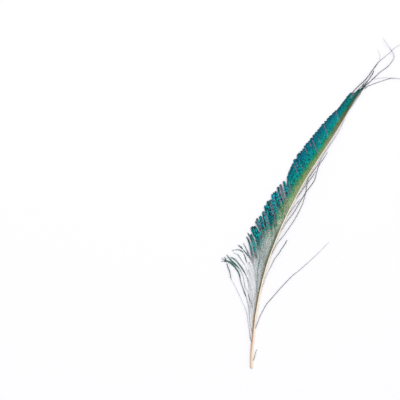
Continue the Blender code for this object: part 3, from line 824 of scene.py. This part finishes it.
def growFan():
    look = fanLook
    bundle = newBundle(30)
    dice = bundle["dice"]
    locks = look["locks"]
    gauze = look["gauze"]
    border = look["border"]
    heights = np.array([lock[0] for lock in locks], float)
    limits = stretchLimits(heights, look["ends"])
    lockHeight = dice.uniform(*look["tipHeight"], len(locks))
    lockTone = dice.uniform(0, 1, len(locks))
    lockShift = dice.normal(0, look["bandSpread"][0], len(locks))

    def thinning(at, shift):
        x, y = at[:, 0], at[:, 1]
        low = np.array([[gauze["number"]], [gauze["length"]]])
        low = low * (gauze["lowest"] + (1 - gauze["lowest"]) * ease(y, *gauze["from"]))
        low = low + (gauze["highest"] - low) * ease(y, *gauze["closed"])
        return low + (1 - low) * ease((shaftX(y) - x) / greenWidth(y) + shift, *gauze["band"])

    strand = 0.5
    for y, n, place, root in rootsAlong(limits, look, dice):
        height, tipWidth, route = locks[n]
        route = np.array(route, float)
        ahead = directions(np.vstack([root[None, :2], route]))[1:]
        right = np.column_stack([ahead[:, 1], -ahead[:, 0]])
        share = np.linspace(0, 1, len(route) + 1)[1:, None]
        natural = look["spread"] * (limits[n + 1] - limits[n])
        low, high = look["narrowing"]
        late = low + (high - low) * ease(height, *look["narrowFrom"])
        width = natural + (tipWidth - natural) * share ** late
        knots = route + right * place * width / 2
        knots = knots + dice.normal(0, look["wobble"], route.shape) * (1 - share)
        knots[-1] -= ahead[-1] * (look["rounded"] * place ** 2 + dice.uniform(0, look["ragged"]))
        line = resample(smoothCurve([root[:2], *knots]), look["lineSpacing"])
        tipHeight = lockHeight[n] + dice.normal(0, look["heightSpread"])
        full = look["least"] + (1 - look["least"]) * ease(line[:, 1], *look["fullFrom"])
        full = full * look["sparse"].get(height, 1)
        barbs = look["barbs"]
        if height < look["beads"]["below"]:
            barbs = {**barbs, "beadDepth": look["beads"]["depth"]}
        inside = border["inside"] * ease(height, *border["insideFrom"])
        inside *= 1 - border["insideLess"] * ease(height, *border["insideTo"])
        inside += border["insideTop"] * ease(height, *border["topFrom"])
        if abs(place) > border["from"] or dice.random() < inside:
            full = full * (1 - border["bare"] * ease(shareAlong(line), *border["bareFrom"]))
            barbs = {**barbs, "ramus": border["ramus"], "ramusTip": border["ramusTip"]}
            tipHeight += border["rise"]
        line = lift(line, root[2] + look["rootRise"] * shaftHalf(y), tipHeight)
        strand = strand if dice.random() < look["sameTone"] else dice.choice(look["tones"])
        tone = look["lockTone"] * lockTone[n] + (1 - look["lockTone"]) * strand
        tone = tone * look["dull"].get(height, 1)
        shift = lockShift[n] + dice.normal(0, look["bandSpread"][1])
        growBarb(bundle, line, barbs, tone, shift, full, thinning)
    finish = vaneFinish("fanIris", look["finish"])
    bundlePiece("fan_barbs", bundle, finish, "fan_grey_green", ["fan"])


growFan()

# the shaft: quill and rachis in one

shaftLook = {
    "top": [(-6, 0.92, 0.8, 0.6), (20, 0.94, 0.8, 0.58), (60, 0.97, 0.84, 0.62), (105, 0.95, 0.86, 0.68),
            (150, 0.95, 0.88, 0.74), (190, 0.85, 0.78, 0.66), (205, 0.88, 0.8, 0.7), (222, 0.9, 0.87, 0.82),
            (238, 0.88, 0.86, 0.8), (249, 0.5, 0.49, 0.44), (258, 0.25, 0.26, 0.21),
            (273.5, 0.17, 0.18, 0.15)],
    # the dark left flank: partly the shaft's own brown where the barbs join it, partly painted shade on the
    # shaft's left side
    "flank": [(-6, 0.62, 0.45, 0.33), (22, 0.5, 0.31, 0.22), (40, 0.2, 0.12, 0.045),
              (62, 0.14, 0.085, 0.015), (95, 0.11, 0.08, 0.01), (117, 0.17, 0.13, 0.035),
              (140, 0.25, 0.2, 0.1), (185, 0.38, 0.33, 0.2), (212, 0.3, 0.26, 0.15),
              (230, 0.17, 0.14, 0.045), (246, 0.09, 0.095, 0.035), (273.5, 0.08, 0.09, 0.05)],
    "flankEdge": (0.22, -0.12, 0, 0.95),  # how the dark flank meets the top: from, to, share from, share to
    # between these heights the flank draws back from the top, and further up it spreads over it
    "drawsBack": (115, 160, 0, -0.35), "spreads": (212, 246, 0, 0.75),
    "streak": (0.62, 0.55, 0.42), "streakShare": 0.22, "streakWaver": 0.1,
    "roughness": (0.32, 0.5), "grain": 900, "grainStretch": 0.06, "bump": 0.3, "bumpDepth": 0.05,
}


def ivoryFinish(look):
    # pale horn streaked lengthwise, with a darker left flank that is partly the shaft's own brown where the
    # barbs join it and partly painted shade on its left side
    finish, tree, shader = newFinish("shaftIvory")
    height = attribute(tree, "height")
    place = feed(tree, addNode(tree, "Mapping"), Vector=addNode(tree, "TexCoord").outputs["Object"],
                 Scale=(1, look["grainStretch"], 1))["Vector"]
    grain = addNoise(tree, place, look["grain"], 3)
    streak = mapRange(tree, grain, 0.3, 0.7, 0, 1)
    colour = climb(tree, look["top"])
    colour = mixColour(tree, mapRange(tree, streak, 0, 1, look["streakShare"], 0), colour, look["streak"])
    waver = mapRange(tree, streak, 0, 1, -look["streakWaver"], look["streakWaver"])
    side = calculate(tree, "ADD", attribute(tree, "flank"), waver)
    lean = calculate(tree, "ADD", mapRange(tree, height, *look["drawsBack"], True),
                     mapRange(tree, height, *look["spreads"], True))
    # the left side of the cross-section gets the flank colour: partly the shaft's own brown, partly painted
    # shade
    dark = mapRange(tree, calculate(tree, "SUBTRACT", side, lean), *look["flankEdge"], True)
    put(tree, shader.inputs["Base Color"], mixColour(tree, dark, colour, climb(tree, look["flank"])))
    put(tree, shader.inputs["Roughness"], mapRange(tree, streak, 0, 1, *look["roughness"]))
    addBump(tree, shader, grain, look["bump"], look["bumpDepth"])
    return finish


def growShaft():
    sides = shaft["sides"]
    line = resample(shaftLine, shaft["ringSpacing"])
    count = len(line)
    y = np.clip(line[:, 1], shaft["route"][0][1], shaft["route"][-1][1])
    centre = np.column_stack([line, shaftHeight(y)])
    across, above = frameAlong(centre)
    half = shaftHalf(y)[:, None]
    groove = shaft["grooveDepth"] * ease(y, *shaft["grooveFrom"]) * (1 - ease(y, *shaft["grooveTo"]))
    turns = 2 * math.pi * np.arange(sides) / sides
    dip = groove[:, None] * np.maximum(0, -np.cos(turns)) ** 6
    out = (half * np.sin(turns))[..., None]
    high = (half * np.cos(turns) * (1 - dip))[..., None]
    points = (centre[:, None] + across[:, None] * out + above[:, None] * high).reshape(-1, 3)
    grid = np.arange(count * sides).reshape(count, sides)
    onward = np.roll(grid, -1, axis=1)
    walls = np.stack([grid[:-1], grid[1:], onward[1:], onward[:-1]], axis=-1).reshape(-1, 4)
    # the quill's cut end: a rim round a shallow bore
    rim = len(points)
    inner = centre[0] + (points[:sides] - centre[0]) * shaft["boreShare"]
    deep = inner + np.array([0, shaft["boreDepth"], 0])
    end = deep.mean(axis=0) + np.array([0, 1.0, 0])
    points = np.concatenate([points, inner, deep, [end, points[-sides:].mean(axis=0)]])
    k = np.arange(sides)
    after = (k + 1) % sides
    lip = np.stack([k, after, rim + after, rim + k], axis=-1)
    pipe = np.stack([rim + k, rim + after, rim + sides + after, rim + sides + k], axis=-1)
    last = (count - 1) * sides
    plug = np.stack([rim + sides + k, rim + sides + after, np.full(sides, rim + 2 * sides)], axis=-1)
    cap = np.stack([last + after, last + k, np.full(sides, rim + 2 * sides + 1)], axis=-1)
    marks = {"flank": np.concatenate([np.tile(np.sin(turns), count), np.zeros(2 * sides + 2)]),
             "height": np.concatenate([np.repeat(y, sides), np.full(2 * sides + 1, y[0]), [y[-1]]])}
    makePiece("shaft_quill", points, [walls, lip, pipe, plug, cap], ivoryFinish(shaftLook),
              "shaft_ivory", ["shaft"], marks)
    print("shaft:", len(points), "points")


growShaft()

# the loose barbs, each along its own line

# a route's point is X, Y and how full the barbules are there; side 0 is a barb whose foot is in the route
looseBarbs = {
    "left_barb": [
        {"root": 20, "side": -1, "tip": 2.2, "look": "beaded", "route": [
            (-1.1, 24.5, 0.6), (-1.8, 29.5, 0.4), (-2.6, 35, 0.35), (-3.7, 42, 0.3), (-5.2, 51, 0.3),
            (-8, 57.5, 0.2), (-12.2, 67, 0.25), (-17, 77, 0.2), (-19.2, 81, 0.2), (-20.6, 84, 0.6),
            (-21.2, 87.5, 0.7), (-22.3, 92, 0.9), (-23.4, 94.5, 1), (-24, 96.4, 1), (-25, 99.5, 0.5)]},
        {"root": 30, "side": -1, "tip": 1.2, "look": "dark", "route": [
            (-0.9, 36, 0.1), (-1.9, 44, 0.1), (-2.6, 52, 0.15), (-3.6, 58.5, 0.25), (-5.2, 64.5, 0.35),
            (-6.3, 67.5, 0.8), (-7.5, 71, 0.7), (-8.8, 74.5, 0.45), (-10.3, 79, 0.5), (-11.3, 83, 0.6),
            (-11.9, 86.5, 0.95), (-13.4, 90.3, 1), (-15.4, 93.3, 1), (-17.5, 96, 1), (-20.2, 98.3, 1),
            (-23.4, 100.7, 0.9), (-26.5, 100.8, 0.8), (-28.2, 100.9, 0.2), (-30.2, 100.7, 0.7)],
         "also": [[(-3.4, 68.2, 0.3), (-2.4, 64.6, 0.4), (-1.2, 61.4, 0.4), (0.2, 58, 0.15),
                   (1.2, 54, 0.05)],
                  [(-22, 99.6, 0.8), (-25.2, 101.3, 1), (-26.2, 103.5, 0.8), (-27.2, 104.6, 0.4)],
                  [(-25, 100.9, 0.5), (-27.4, 102, 0.5), (-29.6, 104, 0.3)]]},
        {"root": 0.6, "tip": 2.4, "fall": 1.4, "look": "dark", "route": [
            (-2.3, 64, 0.1), (-3.9, 71, 0.1), (-6.2, 74.2, 0.3), (-7.2, 79, 0.25), (-8.2, 85, 0.2),
            (-9.6, 88.7, 0.3), (-11.2, 92, 0.3), (-13.2, 94.6, 0.75), (-15.2, 97, 0.8), (-17.2, 99, 0.7),
            (-19.2, 100.7, 1), (-21, 102.4, 0.9), (-23, 104.9, 0.9), (-25.2, 107.5, 0.25)],
         "also": [[(-15, 95.6, 0.4), (-17.6, 98.2, 0.8), (-19.2, 99.4, 0.8), (-21.4, 101.3, 0.3)]]},
        {"root": 0.6, "tip": 1.6, "fall": 1.4, "look": "dark", "route": [
            (-4.3, 83, 0.12), (-5.9, 87.5, 0.55), (-7.5, 90.5, 0.85), (-9, 93, 0.95), (-11, 96, 0.85),
            (-13.5, 99.2, 0.7), (-15.6, 101.8, 0.75), (-18.3, 103.7, 0.7), (-21, 104.9, 0.4)]},
        {"root": 0.6, "tip": 1.8, "fall": 1.4, "look": "pale", "route": [
            (-6, 95.7, 0.4), (-8, 99, 0.4), (-10.5, 102.5, 0.5), (-12.2, 105.5, 0.8), (-14, 107.5, 0.6),
            (-16.5, 108.8, 0.3), (-18.3, 109.4, 0.15)]},
        {"root": 0.6, "tip": 1.4, "fall": 1.4, "look": "dark", "route": [
            (-8.4, 109.4, 1), (-9.7, 110.8, 0.8), (-11.5, 111.9, 0.55), (-14.5, 112.5, 0.4),
            (-17.5, 111.9, 0.35), (-19.5, 111.2, 0.5)]},
        {"root": 0.6, "tip": 1.6, "fall": 1.4, "look": "dark", "route": [
            (-8.8, 112.8, 1), (-11, 115.3, 0.9), (-13.4, 116.9, 0.4)]},
    ],
    "right_barb": [
        {"root": 0.5, "side": 1, "tip": 2, "look": "stub", "route": [
            (3, 5, 0.8), (3.8, 9, 0.7), (5.5, 13, 0.5)]},
        {"root": 33, "side": 1, "tip": 1.2, "route": [
            (6.7, 41, 0.5), (8.5, 46, 0.5), (11.3, 51.5, 0.5), (15, 58, 0.65), (18.5, 62, 0.6),
            (28.5, 73.5, 0.6), (40.5, 86, 0.55), (48.5, 92.5, 0.4), (63.5, 106, 0.2), (77.5, 120, 0.02)]},
        {"root": 74, "side": 1, "tip": 2, "route": [
            (12.1, 79, 0.02), (13.7, 84, 0.05), (15.8, 89, 0.2), (18.5, 94.3, 0.45), (20.7, 98.5, 0.6),
            (23.5, 104, 0.6), (27.5, 109, 0.7), (29.5, 112.5, 0.8), (32, 116, 0.9), (34, 119.4, 1),
            (35.5, 122, 1)]},
        {"root": 107, "side": 1, "tip": 2.2, "route": [
            (22.9, 114, 0.5), (24.9, 117.5, 0.5), (27, 120.5, 0.5), (29.5, 123.5, 0.6), (33, 128, 0.6),
            (37.5, 134.5, 0.6), (42, 141, 0.7), (46, 148, 0.7), (48.5, 153, 0.7), (51.2, 159, 0.6),
            (52.7, 164, 0.6), (53.8, 168.5, 0.8), (54.5, 172, 0.9), (54.8, 175.5, 0.9), (55.9, 178.7, 0.8),
            (57.5, 181.3, 0.8), (60.5, 185, 0.8), (62.2, 187.7, 0.7), (64.5, 191.2, 0.6)]},
        {"root": 131, "side": 1, "tip": 1, "fall": 3, "route": [
            (31.5, 134.5, 0.4), (33.5, 138, 0.5), (36, 141.5, 0.6), (38.8, 145, 0.6), (41, 148, 0.7),
            (43.5, 151.5, 0.7), (45.5, 155, 0.7), (47.5, 158.5, 0.8), (49.3, 161.5, 0.8), (51.2, 164.7, 0.9),
            (53, 167.5, 0.9), (54.5, 170, 0.9), (56, 172, 0.9), (58, 174.5, 0.9), (60.5, 178, 0.9),
            (62.5, 181, 0.8), (63.7, 184, 0.8), (64.7, 188, 0.7), (65.7, 191.5, 0.7), (66.5, 194.5, 0.7),
            (68.5, 198.5, 0.7), (72.5, 204, 0.6), (76.2, 210, 0.4)]},
        {"root": 146, "side": 1, "tip": 5.4, "route": [
            (39.6, 151.5, 0.5), (41.4, 153.9, 0.6), (43.2, 156.3, 0.6), (45.3, 159, 0.6), (47.1, 161.2, 0.5),
            (48.8, 163.2, 0.4)]},
        {"root": 163.5, "side": 1, "tip": 2.4, "fall": 1.2, "route": [
            (46.5, 166.4, 0.7), (48.2, 168.8, 0.7), (50.5, 172, 0.8), (52.5, 174.8, 0.8), (54.2, 177.6, 0.8),
            (55.5, 181, 0.8), (56.8, 183.7, 0.8), (58.2, 186, 0.8), (59.7, 188, 0.8), (62.8, 192.5, 0.8),
            (65.7, 196.5, 0.7), (68.2, 200.7, 0.7), (70.5, 205, 0.6), (73.4, 210, 0.5), (76.2, 214, 0.4),
            (79, 218, 0.4), (82, 222.5, 0.3), (85, 227, 0.3), (88, 232.3, 0.3), (90.5, 237.7, 0.25),
            (92.9, 242.5, 0.15)]},
        {"root": 253, "side": 1, "tip": 2, "route": [
            (101.7, 258, 0.3), (103.7, 261, 0.4), (106.3, 264.8, 0.5), (108.3, 267.6, 0.5),
            (109.6, 269.5, 0.3)]},
    ],
    "tip_barb": [
        {"root": 1.6, "tip": 1, "look": "tuft", "route": [
            (101, 269.6, 0.9), (103, 272, 0.6), (105, 274, 0.75), (107, 276, 0.6), (109, 278, 0.75),
            (111, 279.6, 0.6), (113, 281.5, 0.7), (114.5, 283.1, 0.8), (116, 285, 0.7), (117.6, 286.8, 0.7),
            (119, 289.2, 0.8), (120.5, 291.3, 0.5), (122, 293.2, 0.7), (123.7, 295.6, 1),
            (125.2, 297.6, 0.8), (127, 300, 0.5), (132.5, 304.5, 0.25), (138.5, 309.5, 0.2),
            (143, 314, 0.15), (148.5, 317, 0.08), (151.5, 318.4, 0.05)],
         "also": [[(102.4, 268.2, 0.7), (104.8, 270.6, 0.2), (107, 272.8, 0.5), (109, 275, 0.2),
                   (111.3, 276.6, 0.7), (112.4, 278.6, 0.4), (114.6, 281.2, 0.2)]]},
        {"root": 1, "tip": 2.2, "look": "hair", "route": [
            (127.6, 302.1, 0.6), (128.3, 304, 0.5), (128, 308, 0.4), (125.5, 313, 0.3)]},
        {"root": 0.7, "tip": 4, "look": "tuft", "route": [
            (112.5, 274.3, 0.9), (114.5, 277.2, 1), (117, 279, 0.9), (119, 280.7, 0.35), (120.8, 282.6, 0.9),
            (124.5, 286, 0.5), (127.5, 289, 0.45), (135.5, 295, 0.4), (139.5, 299.5, 0.35),
            (142, 303.5, 0.35), (142, 307, 0.35), (140, 310.5, 0.35), (135.5, 317, 0.2), (130.5, 324, 0.05)],
         "also": [[(110.6, 275.2, 0.6), (111.2, 276.8, 0.9), (112, 278.6, 0.5)]]},
        {"root": 1.4, "tip": 2.4, "look": "hair", "route": [
            (122.4, 282.6, 0.8), (125.5, 283.4, 0.6), (130.5, 284, 0.6), (134.5, 284.5, 0.8),
            (136, 284.6, 0.6)]},
        {"root": 0.7, "tip": 1.6, "route": [
            (113.1, 272.8, 0.9), (114.8, 274.8, 0.9), (117, 276.2, 0.6), (119.5, 277, 0.5),
            (121.5, 278, 0.5), (124, 278.8, 0.45), (133.5, 282, 0.45), (137.5, 283.4, 0.9),
            (140, 283.8, 0.6), (144.5, 283.6, 0.3), (148.5, 283, 0.25), (151.5, 282.6, 0.2)]},
        {"root": 0.8, "tip": 1.8, "look": "tuft", "route": [
            (111.5, 275.1, 0.8), (113.6, 277.9, 0.8), (115.3, 280, 1), (116.6, 281.8, 0.8),
            (117.8, 283.4, 0.7), (119, 285.2, 0.8), (120.2, 287, 0.9), (121.1, 288.4, 1),
            (121.7, 290.2, 0.7), (122, 291.8, 0.4)]},
    ],
    "inner_barb": [
        {"root": 26, "side": -1, "tip": 3.4, "fall": 0.8, "look": "green", "route": [
            (-1.6, 40, 0.05), (-2.2, 49, 0.1), (-1.2, 54, 0.2), (0.5, 58, 0.15), (2, 63, 0.15),
            (3.8, 67, 0.25), (4.8, 72, 0.5), (5.4, 80, 0.6), (6, 88, 0.6), (6.4, 94, 0.8), (7.2, 98, 1),
            (8, 102, 0.8), (8.3, 106, 0.6), (8, 110, 0.4), (7.4, 114, 0.3)]},
    ],
}
usualBarb = {"side": 0, "fall": 1, "look": "grey", "also": []}  # a fall above 1 brings a barb down sooner
fringeValues = ("start", "spacing", "length", "beadPitch", "beadDepth", "ramus", "ramusTip")
fringes = {                         # their barbules and stems, in the order of fringeValues
    "beaded": (0, 0.14, 1.3, 2.2, 0.75, 0.2, 0.16),
    "dark": (0.02, 0.12, 1.5, 1.9, 0.55, 0.28, 0.2),
    "green": (0.02, 0.13, 1.3, 2.6, 0.7, 0.16, 0.12),
    "pale": (0.1, 0.16, 1.2, 2.2, 0.4, 0.18, 0.14),
    "grey": (0.02, 0.15, 0.55, 2.6, 0.6, 0.33, 0.2),
    "tuft": (0, 0.16, 0.75, 2.4, 0.7, 0.38, 0.18),
    "stub": (0.1, 0.2, 0.9, 3, 0.4, 0.22, 0.14),
    "hair": (0.02, 0.4, 0.3, 2.6, 0.7, 0.14, 0.1),
}
sharedFringe = {"taper": 0.04, "angle": 34, "angleSpread": 9, "lift": 0.05, "liftSpread": 0.2, "curl": 0.4,
                "roll": 30, "width": 0.16, "sides": 6, "stemSpacing": 1}
looseColours = {                    # of full barbules, of the bare stem
    "beaded": ((0.02, 0.03, 0.03), (0.3, 0.3, 0.32)),
    "dark": ((0.015, 0.115, 0.095), (0.24, 0.27, 0.27)),
    "green": ((0.05, 0.23, 0.19), (0.36, 0.4, 0.4)),
    "pale": ((0.06, 0.15, 0.14), (0.3, 0.32, 0.33)),
    "grey": ((0.05, 0.055, 0.05), (0.19, 0.19, 0.185)),
    "tuft": ((0.015, 0.025, 0.025), (0.08, 0.085, 0.1)),
    "stub": ((0.3, 0.2, 0.18), (0.42, 0.33, 0.3)),
    "hair": ((0.2, 0.2, 0.2), (0.25, 0.25, 0.24)),
}


looseShine = {
    "patch": 420, "grain": 1400, "grainShare": 0.7, "coveredFrom": (0.15, 0.75), "shades": (0.7, 1.45),
    "rough": (0.4, 0.62), "metallic": 0.2, "specular": 0.3,
}


def looseFinish(look):
    finish, tree, shader = newFinish(look + "Barb")
    full, bare = looseColours[look]
    mottle = feed(tree, addNode(tree, "Group", node_tree=mottleGroup), Patch=looseShine["patch"],
                  Grain=looseShine["grain"], Grain_Share=looseShine["grainShare"])
    covered = mapRange(tree, attribute(tree, "full"), *looseShine["coveredFrom"], 0, 1, True)
    value = mapRange(tree, mottle["Mottle"], *vane["mottleFrom"], *looseShine["shades"])
    put(tree, shader.inputs["Base Color"], shadeColour(tree, mixColour(tree, covered, bare, full), value))
    put(tree, shader.inputs["Roughness"], mapRange(tree, mottle["Fine"], 0, 1, *looseShine["rough"]))
    shader.inputs["Metallic"].default_value = looseShine["metallic"]
    shader.inputs["Specular IOR Level"].default_value = looseShine["specular"]
    return finish


def trace(route, perSpan=12, spacing=0.6):
    # the smooth line through a route's points, evenly spaced, and the fullness along it
    route = np.array(route, float)
    dense = smoothCurve(route[:, :2], perSpan)
    full = np.interp(np.arange(len(dense)), np.arange(len(route)) * perSpan, route[:, 2])
    line = resample(dense, spacing)
    return line, np.interp(np.linspace(0, 1, len(line)), shareAlong(dense), full)


def growLooseBarb(bundle, barb, look):
    route = list(barb["route"])
    start = barb["root"]            # the root's height: up the shaft, or off the table where side is 0
    if barb["side"]:
        root = besideShaft(barb["root"], barb["side"], shaft["looseSeat"])
        route.insert(0, (root[0], root[1], route[0][2]))
        start = root[2]
    line, full = trace(route)
    height = barb["tip"] + (start - barb["tip"]) * (1 - shareAlong(line)) ** barb["fall"]
    growBarb(bundle, np.column_stack([line, height]), look, full=full)
    for strand in barb["also"]:
        side, sideFull = trace(strand)
        nearest = np.argmin(np.linalg.norm(side[:, None] - line[None], axis=2), axis=1)
        growBarb(bundle, np.column_stack([side, height[nearest]]), look, full=sideFull)


def growLooseBarbs():
    finishes = {look: looseFinish(look) for look in looseColours}
    slots = {"left_barb": "barb_dark_green", "right_barb": "barb_grey", "tip_barb": "barb_grey",
             "inner_barb": "fan_grey_green"}
    for kind, barbs in looseBarbs.items():
        for number, given in enumerate(barbs, 1):
            barb = {**usualBarb, **given}
            name = f"{kind}_{number}"
            bundle = newBundle(100 + number + 20 * len(kind))
            fringe = dict(zip(fringeValues, fringes[barb["look"]]))
            growLooseBarb(bundle, barb, {**sharedFringe, **fringe})
            nodes = [name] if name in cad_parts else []
            bundlePiece(name + "_plume", bundle, finishes[barb["look"]], slots[kind], nodes)


growLooseBarbs()

print("feather finished")
